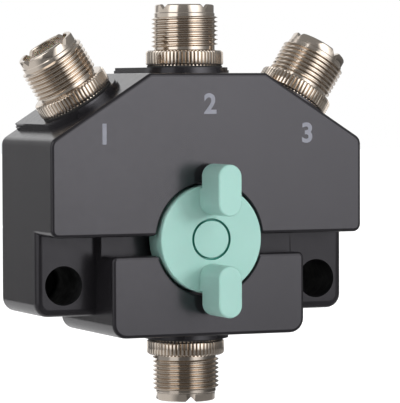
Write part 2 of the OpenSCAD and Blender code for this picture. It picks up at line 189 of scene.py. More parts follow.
# %% Node tools
def group(name, inputs):
    """A new shader group with float inputs and one float output named Value."""
    tree = bpy.data.node_groups.new(name, "ShaderNodeTree")
    for label, value in inputs.items():
        socket = tree.interface.new_socket(label, in_out="INPUT", socket_type="NodeSocketFloat")
        socket.default_value = value
    tree.interface.new_socket("Value", in_out="OUTPUT", socket_type="NodeSocketFloat")
    return tree, tree.nodes.new("NodeGroupInput"), tree.nodes.new("NodeGroupOutput")


def node(tree, kind, links=None, **values):
    """A node with its properties set and its inputs linked or filled."""
    made = tree.nodes.new("ShaderNode" + kind)
    for key, value in values.items():
        setattr(made, key, value)
    for label, source in (links or {}).items():
        if isinstance(source, bpy.types.NodeSocket):
            tree.links.new(source, made.inputs[label])
        else:
            made.inputs[label].default_value = source
    return made


# %% [markdown]
# Three effects come back: fine grain, soft clouds of tone, and the rings that a
# lathe leaves. Each material places them with its own numbers. The groups give out
# only values, and the shader stays in the material.

# %% Grain, clouds and turning lines
NOISE_LOW, NOISE_HIGH = 0.3, 0.7  # nearly all values of a noise lie between these

grain, grain_in, grain_out = group("fine_grain", {"Scale": 2000.0, "Softness": 0.5})
place = node(grain, "TexCoord").outputs["Object"]
specks = node(
    grain, "TexNoise",
    {"Vector": place, "Scale": grain_in.outputs["Scale"], "Detail": 3.0,
     "Roughness": grain_in.outputs["Softness"]},
)
grain.links.new(specks.outputs["Fac"], grain_out.inputs["Value"])

clouds, clouds_in, clouds_out = group("tone_clouds", {"Scale": 60.0, "Low": 0.9, "High": 1.1})
place = node(clouds, "TexCoord").outputs["Object"]
puffs = node(
    clouds, "TexNoise",
    {"Vector": place, "Scale": clouds_in.outputs["Scale"], "Detail": 4.0, "Roughness": 0.6},
)
spread = node(
    clouds, "MapRange",
    {"Value": puffs.outputs["Fac"], "From Min": NOISE_LOW, "From Max": NOISE_HIGH,
     "To Min": clouds_in.outputs["Low"], "To Max": clouds_in.outputs["High"]},
)
clouds.links.new(spread.outputs["Result"], clouds_out.inputs["Value"])

lathe, lathe_in, lathe_out = group("turning_lines", {"Lines per metre": 3000.0, "Wobble": 0.5})
own = node(lathe, "Attribute", attribute_name="own_place")
height = node(lathe, "SeparateXYZ", {"Vector": own.outputs["Vector"]}).outputs["Z"]
lines = node(
    lathe, "Math", {0: height, 1: lathe_in.outputs["Lines per metre"]}, operation="MULTIPLY"
)
line_noise = node(
    lathe, "TexNoise",
    {"W": lines.outputs["Value"], "Scale": 1.0, "Detail": 2.0,
     "Roughness": lathe_in.outputs["Wobble"]},
    noise_dimensions="1D",
)
lathe.links.new(line_noise.outputs["Fac"], lathe_out.inputs["Value"])
print("groups:", [g.name for g in bpy.data.node_groups])

# %% [markdown]
# A real surface is never one flat value. Every finish on the object drifts in
# three ways: its colour in soft clouds, its gloss with a fine pattern, and its
# bumps with that same pattern, so that gloss and bumps belong together.


# %% Tools for materials
def placed_group(tree, which, values):
    """Puts a node group into a material, with its own values."""
    made = tree.nodes.new("ShaderNodeGroup")
    made.node_tree = which
    for label, value in values.items():
        made.inputs[label].default_value = value
    return made.outputs["Value"]


def finish_named(name, **sockets):
    """A material with a Principled shader whose plain sockets are set."""
    material = bpy.data.materials.new(name)
    material.use_nodes = True
    shader = material.node_tree.nodes["Principled BSDF"]
    for label, value in sockets.items():
        shader.inputs[label.replace("_", " ")].default_value = value
    return material, material.node_tree, shader


def tinted(tree, shader, colour, tone):
    """Base Color: one colour, made lighter and darker by a tone value."""
    scaled = node(tree, "VectorMath", {0: colour, "Scale": tone}, operation="SCALE")
    tree.links.new(scaled.outputs["Vector"], shader.inputs["Base Color"])


def gloss_between(tree, shader, value, low, high):
    """Roughness that follows a noise, from low to high."""
    spread = node(
        tree, "MapRange",
        {"Value": value, "From Min": NOISE_LOW, "From Max": NOISE_HIGH,
         "To Min": low, "To Max": high},
    )
    tree.links.new(spread.outputs["Result"], shader.inputs["Roughness"])


def bumped(tree, shader, value, depth_mm):
    """Small bumps that follow a pattern."""
    bump = node(tree, "Bump", {"Height": value, "Strength": 1.0, "Distance": depth_mm * MM})
    tree.links.new(bump.outputs["Normal"], shader.inputs["Normal"])


def plain_finish(name, colour, tone, skin, gloss, depth_mm, **sockets):
    """A painted or moulded finish.

    tone is the clouds' scale, lowest and highest level, skin is the grain's scale
    and softness, and gloss is the lowest and highest roughness.
    """
    material, tree, shader = finish_named(name, **sockets)
    puffs = placed_group(tree, clouds, dict(zip(("Scale", "Low", "High"), tone)))
    tinted(tree, shader, colour, puffs)
    specks = placed_group(tree, grain, dict(zip(("Scale", "Softness"), skin)))
    gloss_between(tree, shader, specks, *gloss)
    bumped(tree, shader, specks, depth_mm)
    return material


# %% [markdown]
# ## Gray enamel
# The case is zinc, cast and then sprayed a glossy dark gray, nearly black. The
# paint itself is much darker than it looks: the flat faces are bright because
# they mirror the studio, and the rounded edges are dark lines because they mirror
# the dark cards and carry a thinner coat, whose colour holds a little painted
# shade. So the colour is set low, and the gloss does the rest, over an orange
# peel of one or two thousandths of a millimetre.

# %% Enamel
ENAMEL, ENAMEL_GLEAM = (0.0155, 0.0145, 0.0165), (0.95, 0.93, 1.0, 1.0)
PEEL, PEEL_GLOSS, PEEL_DEPTH = (700, 0.5), (0.17, 0.24), 0.0015
enamel = plain_finish(
    "gray_enamel", ENAMEL, (45, 0.85, 1.15), PEEL, PEEL_GLOSS, PEEL_DEPTH,
    IOR=1.65, Specular_Tint=ENAMEL_GLEAM,
)
print("paint:", enamel.name)

# %% [markdown]
# ## Nickel, silver, brass and steel
# Plated metal has almost no colour of its own and shows the studio. Nickel is a
# little warmer than chrome. What makes it look machined is the lathe: fine rings
# around each piece, which spread every highlight along the axis.

# %% Metals
METAL_TONE = {"Scale": 120.0, "Low": 0.94, "High": 1.04}
SCRATCHES, SCRATCH_DEPTH = {"Scale": 1500.0, "Softness": 0.7}, 0.004
RINGS, RING_DEPTH = {"Lines per metre": 3.0 / MM, "Wobble": 0.5}, 0.0006


def metal(name, colour, low, high, turned_fine=False):
    """A metal whose gloss drifts, with a lathe's rings or with scratches."""
    material, tree, shader = finish_named(name, Metallic=1.0)
    tinted(tree, shader, colour, placed_group(tree, clouds, METAL_TONE))
    if turned_fine:
        marks = placed_group(tree, lathe, RINGS)
    else:
        marks = placed_group(tree, grain, SCRATCHES)
    gloss_between(tree, shader, marks, low, high)
    bumped(tree, shader, marks, RING_DEPTH if turned_fine else SCRATCH_DEPTH)
    return material


nickel = metal("bright_nickel", (0.65, 0.575, 0.50), 0.09, 0.17, turned_fine=True)
silver = metal("silver_plate", (0.82, 0.80, 0.75), 0.22, 0.36)
brass = metal("turned_brass", (0.62, 0.43, 0.16), 0.22, 0.34)
steel = metal("zinc_plated_steel", (0.52, 0.53, 0.55), 0.26, 0.40)
print("metals:", [m.name for m in (nickel, silver, brass, steel)])

# %% [markdown]
# ## Plastics, rubber and ink
# The knob is a moulded plastic with a silky surface, coloured right through. The
# sockets' cores are a waxy white fluoroplastic that lets a little light in.

# %% Plastics, rubber and ink
mint = plain_finish(
    "mint_plastic", (0.345, 0.575, 0.52), (70, 0.975, 1.02), (1600, 0.5), (0.36, 0.46), 0.005,
    IOR=1.46, Subsurface_Weight=0.3, Subsurface_Scale=0.0012, Subsurface_Radius=(0.5, 1.0, 0.85),
)
fluoroplastic = plain_finish(
    "white_fluoroplastic", (0.86, 0.85, 0.81), (150, 0.96, 1.0), (1200, 0.5), (0.38, 0.5), 0.004,
    IOR=1.36, Subsurface_Weight=0.2, Subsurface_Scale=0.001,
)
rubber = plain_finish(
    "black_rubber", (0.022, 0.021, 0.021), (200, 0.8, 1.2), (2500, 0.6), (0.6, 0.8), 0.01, IOR=1.5
)
ink = plain_finish(
    "gray_ink", (0.245, 0.25, 0.29), (400, 0.92, 1.06), (3000, 0.6), (0.5, 0.62), 0.003, IOR=1.45
)
print("moulded and printed:", [m.name for m in (mint, fluoroplastic, rubber, ink)])

# %% [markdown]
# ## Finishes for the measured pieces
# Most inner pieces already have their right shape. They keep it, and only their
# material slots are filled.

# %% Dress the measured pieces
SOCKETS = ("common", "left", "middle", "right")
dress = {
    enamel: ["back_cover"],
    steel: ["cover_screws", "stop_pin", "detent_ball", "knob_screw", "thrust_washer",
            "shaft", "retaining_ring", "detent_disc"],
    brass: ["shaft_bushing", "rear_bush", "detent_holder"],
    silver: ["rotor_blade"] + [s + "_contact" for s in SOCKETS] + [s + "_line" for s in SOCKETS],
    fluoroplastic: ["rotor_hub"] + [s + "_insulator" for s in SOCKETS],
    rubber: [s + "_washer" for s in SOCKETS],
}
for material, names in dress.items():
    for name in names:
        nodes[name].data.materials.clear()
        nodes[name].data.materials.append(material)
print("dressed:", sum(len(n) for n in dress.values()))

# %% [markdown]
# ## The case
# The casting's shape is measured, so its own mesh is the best start. It comes as
# loose triangles: a copy is merged, and its flat faces are cleaned of extra edges.
# Two edges that a die leaves soft are bevelled: the rim of the round pocket, and
# the steps between the ears and the groove. Then the rounded edges are shaded
# smoothly while the flat faces stay flat.

# %% The case
FLAT_ANGLE = 0.2  # in degrees: faces that differ by less are one flat face

bpy.ops.object.select_all(action="DESELECT")
case = nodes["housing"].copy()
case.data = nodes["housing"].data.copy()
case.name = case.data.name = "case_casting"
for key in [k for k in case.keys() if k.startswith("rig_")]:
    del case[key]
case.parent = None
bpy.context.scene.collection.objects.link(case)
case.data.materials.clear()
case.data.materials.append(enamel)
edit(case)
bpy.ops.mesh.select_all(action="SELECT")
bpy.ops.mesh.customdata_custom_splitnormals_clear()
bpy.ops.mesh.remove_doubles(threshold=TINY * MM)
bpy.ops.mesh.dissolve_limited(angle_limit=math.radians(FLAT_ANGLE))
done()
print("case faces:", len(case.data.polygons))

# %% Two soft edges
CASE_FRONT, POCKET_R, POCKET_EDGE = -34.6, 13.5, 0.35
GROOVE_X, GROOVE_Y, GROOVE_LOW, STEP_EDGE = 24.4, -26.7, -9, 0.25
FLUSH, NEAR = 0.02, 0.08  # how exactly a point lies on a face, and on an edge


def on_pocket_rim(p):
    """Points of the front face that lie on the round pocket's rim."""
    return abs(p.y - CASE_FRONT) < FLUSH and math.hypot(p.x, p.z) < POCKET_R + NEAR


def on_step(p):
    """Points of the groove's floor where it meets an ear."""
    at_end = abs(abs(p.x) - GROOVE_X) < NEAR and p.z > GROOVE_LOW
    return at_end and abs(p.y - GROOVE_Y) < FLUSH


edit(case)
choose(case, on_pocket_rim)
bpy.ops.mesh.bevel(offset=POCKET_EDGE * MM, segments=3, affect="EDGES")
choose(case, on_step)
bpy.ops.mesh.bevel(offset=STEP_EDGE * MM, segments=2, affect="EDGES")
done()
smooth(case)
print("case faces with soft edges:", len(case.data.polygons))

# %% [markdown]
# Two deep wells sink the heads of the wall screws. Spray hardly reaches into them,
# so their walls stay dull. They also lie in deep shade, which is painted into their
# colour as a darker enamel. Those faces get a second, matt and darker finish,
# chosen by their distance from the well's axis.

# %% The wells
# The darker colour is painted shade for the deep wells; the higher roughness is their dull coat.
matt_and_shade = plain_finish(
    "matt_shaded_well", (0.007, 0.007, 0.008), (90, 0.8, 1.2), (600, 0.6), (0.5, 0.7), 0.01, IOR=1.45
)
case.data.materials.append(matt_and_shade)

WELL_X, WELL_Z, WELL_R = 32.6, -10.75, 4.65
WELL_FRONT, WELL_BACK = -23.6, -0.1
in_well = 0
for face in case.data.polygons:
    x, y, z = face.center / MM
    from_axis = math.hypot(abs(x) - WELL_X, z - WELL_Z)
    if from_axis < WELL_R + FLUSH and WELL_FRONT < y < WELL_BACK:
        face.material_index = 1
        in_well += 1
print("faces in the wells:", in_well)

# %% [markdown]
# The ears and the groove's floor lie well back, between the two blocks. The gun
# reaches them at a slant, so their coat is thinner and duller than on the front.
# Wet paint also draws back from every sharp edge. Both places mirror less of the
# light, which gives the front faces their dark outlines. Their colour is also set
# a little darker than the front's, which is painted shade.

# %% Where the coat is thin, with painted shade
# The lower IOR is the thin coat; the tone, a little darker than the front's, is painted shade.
thin_and_shaded_coat = plain_finish(
    "thin_shaded_enamel", ENAMEL, (45, 0.8, 1.1), PEEL, PEEL_GLOSS, PEEL_DEPTH,
    IOR=1.43, Specular_Tint=ENAMEL_GLEAM,
)
case.data.materials.append(thin_and_shaded_coat)

EDGE_R = 0.8
SET_BACK_FROM, SET_BACK_TO = -29, -20
# How far a face's normal points to the front: -1 is straight at it, 0 is sideways
STRAIGHT, ASLANT, SIDEWAYS = -0.985, -0.3, -0.02


def thinly_coated_and_shaded(face):
    """Faces that lie back, and the rounded edges round the front faces."""
    y, facing = face.center.y / MM, face.normal.y
    lies_back = facing < ASLANT and SET_BACK_FROM < y < SET_BACK_TO
    on_edge = STRAIGHT < facing < SIDEWAYS and y < CASE_FRONT + EDGE_R
    return lies_back or on_edge


# Faces set back and the rounded edges get the thin coat with its painted shade.
for face in case.data.polygons:
    if face.material_index == 0 and thinly_coated_and_shaded(face):
        face.material_index = 2
print("thinly coated faces:", sum(face.material_index == 2 for face in case.data.polygons))
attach(case, "case")
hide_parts("housing")

# %% [markdown]
# ## A socket's shell
# The shell is turned from brass bar and nickel plated: a flange with straight
# knurling to grip, a barrel with a right-hand thread of 24 turns per inch, and a
# rim with four V notches that stop the plug from turning. The body is turned
# from a profile, with four columns of points for each tooth of the knurl. One
# column of the four is pulled in to make the valley, and its two neighbours a
# little, to round the crest.

# %% The shell's body
THREAD_R, THREAD_DEPTH, PITCH, TURNS = 7.9375, 0.7, 1.0583, 8
CORE_R = THREAD_R - THREAD_DEPTH
SPIGOT_R, SPIGOT_Z, NECK_R, NECK_Z = 6.98, -4.0, 4.6, 2.6
FLANGE_R, FLANGE_Z, THREAD_Z = 9.25, 1.8, 5.45
THREAD_END = THREAD_Z + PITCH * TURNS
RIM_R, RIM_H, BORE_R = 7.05, 16.4, 5.9
TEETH, COLUMNS = 60, 4

# From the neck up the outside to the rim, and down the bore back to the neck
shell = turned("socket_shell", [
    (NECK_R, SPIGOT_Z), (SPIGOT_R - 0.28, SPIGOT_Z), (SPIGOT_R, SPIGOT_Z + 0.3), (SPIGOT_R, FLANGE_Z),
    (FLANGE_R - 0.55, FLANGE_Z), (FLANGE_R - 0.1, FLANGE_Z + 0.3), (FLANGE_R, FLANGE_Z + 0.55),
    (FLANGE_R, THREAD_Z - 0.6), (FLANGE_R - 0.12, THREAD_Z - 0.3), (FLANGE_R - 0.6, THREAD_Z),
    (CORE_R + 0.25, THREAD_Z), (CORE_R, THREAD_Z + 0.2),
    (CORE_R, THREAD_END + 0.35), (RIM_R, THREAD_END + 0.55),
    (RIM_R, RIM_H - 0.33), (RIM_R - 0.15, RIM_H - 0.1), (RIM_R - 0.35, RIM_H),
    (BORE_R + 0.3, RIM_H), (BORE_R + 0.08, RIM_H - 0.08), (BORE_R, RIM_H - 0.3),
    (BORE_R, NECK_Z), (NECK_R, NECK_Z), (NECK_R, SPIGOT_Z),
], around=TEETH * COLUMNS)
print("turned shell faces:", len(shell.data.polygons))

# %% The knurling
VALLEY, SHOULDER = 0.52, 0.03
FLANGE_SKIN = 0.3


def column(p):
    """Which of a tooth's columns a point is in: 0 is the valley and 2 the crest."""
    return round(math.degrees(math.atan2(p.y, p.x)) * TEETH * COLUMNS / 360) % COLUMNS


def on_flange(p):
    """Points of the flange's rounded outside."""
    return math.hypot(p.x, p.y) > FLANGE_R - FLANGE_SKIN and FLANGE_Z < p.z < THREAD_Z


edit(shell)
for columns, depth in (((0,), VALLEY), ((1, 3), SHOULDER)):
    choose(shell, lambda p: on_flange(p) and column(p) in columns)
    pulled_in = (FLANGE_R - depth) / FLANGE_R
    bpy.ops.transform.resize(value=(pulled_in, pulled_in, 1), center_override=(0, 0, 0))
done()
print("teeth:", TEETH)

# %% [markdown]
# ## The thread
# A thread is one profile that climbs as it turns. The profile is a small plane
# that stands on the barrel; the Screw modifier sweeps it round the axis and lifts
# it one pitch each turn.

# %% The thread's ridge
STEPS = 96
ROOT_W, CREST_W = PITCH * 0.92, PITCH * 0.13
SUNK, FIRST_TURN = 0.15, 0.62
bpy.ops.mesh.primitive_plane_add(
    size=1, rotation=(math.radians(90), 0, 0),
    location=((CORE_R - SUNK + THREAD_R) / 2 * MM, 0, (THREAD_Z + FIRST_TURN) * MM),
)
ridge = bpy.context.object
ridge.name = "thread_ridge"
ridge.scale = ((THREAD_DEPTH + SUNK) * MM, ROOT_W * MM, 1)
applied(ridge)
edit(ridge)
choose(ridge, lambda p: p.x > CORE_R)
bpy.ops.transform.resize(value=(1, 1, CREST_W / ROOT_W))
bpy.ops.mesh.select_all(action="SELECT")
bpy.ops.mesh.delete(type="ONLY_FACE")
done()
apply_modifier(
    ridge, "SCREW", axis="Z", screw_offset=PITCH * MM, iterations=TURNS - 1, steps=STEPS,
    render_steps=STEPS, angle=2 * math.pi, use_merge_vertices=False, use_normal_calculate=False,
)
print("ridge:", len(ridge.data.polygons), "faces")

# %% [markdown]
# The sweep leaves an open tube. Its two ends are closed, and since its root lies a
# little inside the barrel, a union joins both into one solid.

# %% Close the ridge's ends and join it
edit(ridge)
bpy.ops.mesh.select_all(action="SELECT")
bpy.ops.mesh.fill_holes(sides=0)
bpy.ops.mesh.normals_make_consistent(inside=False)
done()
combine(shell, ridge, "UNION")
print("threaded shell faces:", len(shell.data.polygons))

# %% [markdown]
# ## Notches
# The notches are cut by a square bar that stands on its edge and lies across the
# rim. One bar cuts the two notches that face each other, and a second one, laid
# crosswise, the other two. The cuts leave slivers, which are cleaned away.

# %% Cut the notches
NOTCH_DEPTH = 1.3
BAR_W, BAR_L = 2 * NOTCH_DEPTH, 4 * THREAD_R
bar_z = RIM_H - NOTCH_DEPTH + BAR_W * math.sqrt(0.5)
raised = Matrix.Translation((0, 0, bar_z * MM))
on_edge = Matrix.Rotation(math.radians(45), 4, "Y")
stretched = Matrix.Diagonal((BAR_W * MM, BAR_L * MM, BAR_W * MM, 1))
for quarter in (0, 90):
    bpy.ops.mesh.primitive_cube_add(size=1)
    bar = bpy.context.object
    placed(bar, Matrix.Rotation(math.radians(quarter), 4, "Z") @ raised @ on_edge @ stretched)
    combine(shell, bar, "DIFFERENCE")
edit(shell)
bpy.ops.mesh.select_all(action="SELECT")
bpy.ops.mesh.dissolve_degenerate(threshold=TINY * MM)
bpy.ops.mesh.quads_convert_to_tris(ngon_method="BEAUTY")
done()
print("notched shell faces:", len(shell.data.polygons))

# %% [markdown]
# ## Four sockets
# The turning lines run round each socket's own axis, but two sockets stand
# slanted. So every point first stores its upright place as an attribute, which the
# lines read, and only then is the shell copied to its four places. Each one stops
# at its own angle when it is screwed in.

# %% Remember each point's own place
own_place = shell.data.attributes.new("own_place", "FLOAT_VECTOR", "POINT")
for vertex, stored in zip(shell.data.vertices, own_place.data):
    stored.vector = vertex.co
print("stored places:", len(own_place.data))

# %% Four copies in their places
TOP_Z, BOTTOM_Z, FLAT_HALF_W = 39, -22.8, 14.8
SLOPE_Z, CASE_HALF_W = 23.3, 39.5
SOCKET_Y, UP_SLOPE = -19.4, 0.5
slope = math.atan2(TOP_Z - SLOPE_Z, CASE_HALF_W - FLAT_HALF_W)
slope_mid = Vector(((FLAT_HALF_W + CASE_HALF_W) / 2, (TOP_Z + SLOPE_Z) / 2))
slanted = slope_mid + UP_SLOPE * Vector((-math.cos(slope), math.sin(slope)))
# Each socket's foot, its tilt from upright, and the turn of its notches in degrees
socket_frames = {
    "common": ((0, SOCKET_Y, BOTTOM_Z), math.pi, 12),
    "left": ((-slanted.x, SOCKET_Y, slanted.y), -slope, 22),
    "middle": ((0, SOCKET_Y, TOP_Z), 0, 22),
    "right": ((slanted.x, SOCKET_Y, slanted.y), slope, 15),
}
smooth(shell, 35)
shell.data.materials.append(nickel)
for which, (base, tilt, turn) in socket_frames.items():
    copy = shell.copy()
    copy.data = shell.data.copy()
    copy.name = copy.data.name = which + "_socket"
    bpy.context.scene.collection.objects.link(copy)
    placed(copy, Matrix.Translation(Vector(base) * MM) @ Matrix.Rotation(tilt, 4, "Y")
           @ Matrix.Rotation(math.radians(turn), 4, "Z"))
    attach(copy, "case")
    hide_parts(which + "_shell")
bpy.data.objects.remove(shell)
print("sockets:", list(socket_frames))

# %% [markdown]
# ## The knob
# The knob is one moulding: a hollow disc with a skirt that sits in the case's
# round pocket, and two upright wings to turn it by. The disc is turned from a
# profile, with its hub and its cap's seat.

# %% The knob's disc
turn_to_front = Matrix.Rotation(math.radians(90), 4, "X")
KNOB_R, FACE, BACK = 12.8, 35.67, 28.1
DISC_T, SKIRT_R, HUB_R, SHAFT_R = 2.5, 10.9, 6.0, 3.0
# The cap's seat has a step, below it the screw's head and shank, and then the shaft
SEAT_R, LEDGE_R, LEDGE, SEAT = 4.9, 4.7, 0.85, 1.2
HEAD_R, HEAD, SHANK_R, SHAFT_END = 3.2, 3.1, 1.6, 4.6
knob = turned("knob_body", [
    (SHAFT_R, BACK), (HUB_R, BACK), (HUB_R, FACE - DISC_T), (SKIRT_R, FACE - DISC_T), (SKIRT_R, BACK),
    (KNOB_R - 0.3, BACK), (KNOB_R, BACK + 0.3), (KNOB_R, FACE - 0.45), (KNOB_R - 0.05, FACE - 0.22),
    (KNOB_R - 0.2, FACE - 0.06), (KNOB_R - 0.45, FACE),
    (SEAT_R + 0.1, FACE), (SEAT_R + 0.03, FACE - 0.03), (SEAT_R, FACE - 0.1),
    (SEAT_R, FACE - LEDGE), (LEDGE_R, FACE - LEDGE - 0.1), (LEDGE_R, FACE - SEAT),
    (HEAD_R, FACE - SEAT), (HEAD_R, FACE - HEAD), (SHANK_R, FACE - HEAD),
    (SHANK_R, FACE - SHAFT_END), (SHAFT_R, FACE - SHAFT_END), (SHAFT_R, BACK),
], around=144)
print("knob disc faces:", len(knob.data.polygons))

# %% [markdown]
# The wings are cylinders drawn out to a long shape, with their front edges rounded
# as a mould leaves them. They reach past the disc, and their tips are cut away
# underneath, so that they clear the case when the knob turns.


# %% The wings
def stadium(name, radius, inner, outer, low, high, bevel):
    """An upright bar with round ends, whose axes stand at inner and outer on Y, in mm."""
    bpy.ops.mesh.primitive_cylinder_add(
        vertices=64, radius=radius * MM, depth=(high - low) * MM,
        location=(0, inner * MM, (high + low) / 2 * MM),
    )
    bar = bpy.context.object
    bar.name = name
    applied(bar)
    edit(bar)
    choose(bar, lambda p: p.y > inner + TINY)
    bpy.ops.transform.translate(value=(0, (outer - inner) * MM, 0))
    choose(bar, lambda p: p.z > high - TINY)
    bpy.ops.mesh.bevel(offset=bevel * MM, segments=4, affect="EDGES")
    done()
    return bar


# From the knob's axis outwards: where a wing begins and ends, and its tip begins
WING_R, WING_IN, WING_OUT, WING_EDGE = 2.95, 5.75, 17.8, 0.5
TIP_FROM = 12
# From the case's back forwards: the wing's root and top, and its tip's underside
WING_ROOT, WING_TOP, TIP_UNDER = 34.8, 47.0, 37
CUT = Vector((12, 10, 5))
for side in (0, 180):
    wing = stadium(
        "wing", WING_R, WING_IN + WING_R, WING_OUT - WING_R, WING_ROOT, WING_TOP, WING_EDGE
    )
    bpy.ops.mesh.primitive_cube_add(size=1)
    cutter = bpy.context.object
    cut_at = Vector((0, TIP_FROM + CUT.y / 2, TIP_UNDER - CUT.z / 2))
    placed(cutter, Matrix.Translation(cut_at * MM) @ Matrix.Diagonal((*(CUT * MM), 1)))
    combine(wing, cutter, "DIFFERENCE")
    placed(wing, Matrix.Rotation(math.radians(side), 4, "Z"))
    combine(knob, wing, "UNION")
placed(knob, turn_to_front)
smooth(knob)
knob.data.materials.clear()
knob.data.materials.append(mint)
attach(knob, "rotor")
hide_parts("knob")
print("knob faces:", len(knob.data.polygons))

# %% [markdown]
# ## The knob's cap
# A round cap hides the screw between the wings. It snaps into its seat with a
# foot, and above the foot stays a groove half a millimetre wide. The groove lies
# in shade, so its faces get a darker finish of their own: painted shade.

# %% The cap
CAP_R, FOOT_R, HOLLOW_R, CAP_T = 4.36, 4.55, 3.7, 0.7
cap = turned("knob_cover_cap", [
    (POLE, FACE), (CAP_R - 0.14, FACE), (CAP_R - 0.04, FACE - 0.03), (CAP_R, FACE - 0.12),
    (CAP_R, FACE - LEDGE), (FOOT_R, FACE - LEDGE - 0.1), (FOOT_R, FACE - SEAT),
    (HOLLOW_R, FACE - SEAT), (HOLLOW_R, FACE - CAP_T), (POLE, FACE - CAP_T),
], around=96)
placed(cap, turn_to_front)
smooth(cap)
cap.data.materials.append(mint)
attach(cap, "rotor")
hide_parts("knob_cap")
print("cap faces:", len(cap.data.polygons))

# %% Painted shade in the groove
# The dark mint is painted shade, for the shade inside the cap's groove.
groove_shade = plain_finish(
    "groove_painted_shade", (0.05, 0.3, 0.245), (150, 0.8, 1.2), (2000, 0.6), (0.6, 0.8), 0.01, IOR=1.4
)
GROOVE_IN, GROOVE_OUT = 4.25, 4.95
SHADE_FROM, SHADE_TO = 0.12, 1.3
# Faces inside the groove get the painted shade.
for piece in (knob, cap):
    piece.data.materials.append(groove_shade)
    for face in piece.data.polygons:
        x, y, z = face.center / MM
        depth = FACE + y
        if GROOVE_IN < math.hypot(x, z) < GROOVE_OUT and SHADE_FROM < depth < SHADE_TO:
            face.material_index = 1
    print(piece.name, "faces with grime:", sum(f.material_index for f in piece.data.polygons))

# %% [markdown]
# ## The detent spring
# Inside, a small coil spring pushes a ball into the notches of the detent disc,
# which makes the knob click. The measured model holds its place as a tube; here
# it is a real coil, swept by the same Screw modifier as the thread.

# %% The spring
SPRING_Y, SPRING_LOW, SPRING_HIGH = -9.15, -19.0, -13.7
COIL_R, WIRE_R, COILS, COIL_STEPS = 1.2, 0.19, 7, 24
bpy.ops.mesh.primitive_circle_add(
    vertices=10, radius=WIRE_R * MM, rotation=(math.radians(90), 0, 0),
    location=(COIL_R * MM, 0, 0),
)
spring = bpy.context.object
spring.name = spring.data.name = "spring_coil"
applied(spring)
climb = (SPRING_HIGH - SPRING_LOW - 2 * WIRE_R) / COILS
apply_modifier(
    spring, "SCREW", axis="Z", screw_offset=climb * MM, iterations=COILS, steps=COIL_STEPS,
    render_steps=COIL_STEPS, angle=2 * math.pi, use_merge_vertices=False,
)
edit(spring)
bpy.ops.mesh.select_all(action="SELECT")
bpy.ops.mesh.fill_holes(sides=0)
bpy.ops.mesh.normals_make_consistent(inside=False)
done()
placed(spring, Matrix.Translation(Vector((0, SPRING_Y, SPRING_LOW + WIRE_R)) * MM))
smooth(spring, 50)
spring.data.materials.append(steel)
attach(spring, "case")
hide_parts("detent_spring")
print("spring faces:", len(spring.data.polygons))

# %% [markdown]
# ## Numbers
# Each upper socket has its number printed on the front in gray ink. A text object
# is the quickest start: it is thickened to a film, turned into a mesh, and laid
# on the front face.

# %% Numbers
# Where each digit's middle lies on the front face, across and up
NUMBERS = {"1": (-26.35, 24.91), "2": (0.24, 31.85), "3": (25.26, 24.8)}
DIGIT_H, INK_T, BOLDER = 4.85, 0.02, 0.2
FONT_SHARE = 0.7  # a digit's height, as a share of the font's size
for text, (x, z) in NUMBERS.items():
    bpy.ops.object.text_add()
    number = bpy.context.object
    number.data.body = text
    number.data.size = DIGIT_H / FONT_SHARE * MM
    number.data.extrude = INK_T / 2 * MM
    number.data.offset = BOLDER * MM
    pick(number)
    bpy.ops.object.convert(target="MESH")
    number = bpy.context.object
    number.name = number.data.name = "number_" + text
    corners = [Vector(c) for c in number.bound_box]
    middle = sum(corners, Vector()) / len(corners)
    tall = DIGIT_H * MM / number.dimensions.y
    placed(number, Matrix.Translation(Vector((x, CASE_FRONT, z)) * MM) @ turn_to_front
           @ Matrix.Diagonal((tall, tall, 1, 1)) @ Matrix.Translation(-middle))
    closed_up(number)
    number.data.materials.clear()
    number.data.materials.append(ink)
    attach(number, "case")
print("numbers:", list(NUMBERS))

# %% [markdown]
# ## The studio
# The sockets are mirrors, so the studio is what they look like. A photographer
# shapes metal with tall soft boxes and dark cards, and a round tent is a simple
# way to have them all: its wall glows in upright bands, with a key light to the
# right of the lens, a second one at the far left, and dark cards between them.
# A dim roof keeps the tops of the threads dark. The tent is open behind the
# object, where the lens sees plain white. The switch hangs on a wall in use, so
# here it hangs above the floor. A card low in the tent, which only the mirrors
# see, keeps the white floor out of the sockets.

# %% The light tent
FLOOR_Z = -125
TENT_R, TENT_TOP, PANELS = 650, 650, 180
CARD_Z = FLOOR_Z + 5
OPEN_FROM, OPEN_TO = 150, 192  # the opening, in degrees


def azimuth(p):
    """Degrees from straight in front of the object, growing to the right."""
    return math.degrees(math.atan2(p.x, -p.y))


bpy.ops.mesh.primitive_cylinder_add(
    vertices=PANELS, radius=TENT_R * MM, depth=(TENT_TOP - FLOOR_Z) * MM, end_fill_type="NOTHING",
    location=(0, 0, (TENT_TOP + FLOOR_Z) / 2 * MM),
)
tent = bpy.context.object
tent.name = "light_tent"
applied(tent)
edit(tent)
choose(tent, lambda p: OPEN_FROM < azimuth(p) % 360 < OPEN_TO)
bpy.ops.mesh.delete(type="VERT")
done()
print("tent panels:", len(tent.data.polygons))


# %% The roof and the floor card
def disc(name, height):
    """A round sheet as wide as the tent, at a height in mm."""
    bpy.ops.mesh.primitive_circle_add(
        vertices=PANELS, radius=TENT_R * MM, fill_type="NGON", location=(0, 0, height * MM)
    )
    made = bpy.context.object
    made.name = name
    applied(made)
    return made


roof = disc("tent_roof", TENT_TOP)
card = disc("floor_card", CARD_Z)
card.visible_shadow = card.visible_diffuse = False
tent.visible_camera = roof.visible_camera = card.visible_camera = False
print("stage pieces:", [piece.name for piece in (tent, roof, card)])

# %% [markdown]
# The light is painted onto the tent. A ramp holds how bright each direction is,
# in degrees from straight in front and growing to the right, and a second ramp how
# the wall brightens with its height. The card is brighter on the left and behind,
# which puts a soft glow on the sockets' lower sides.

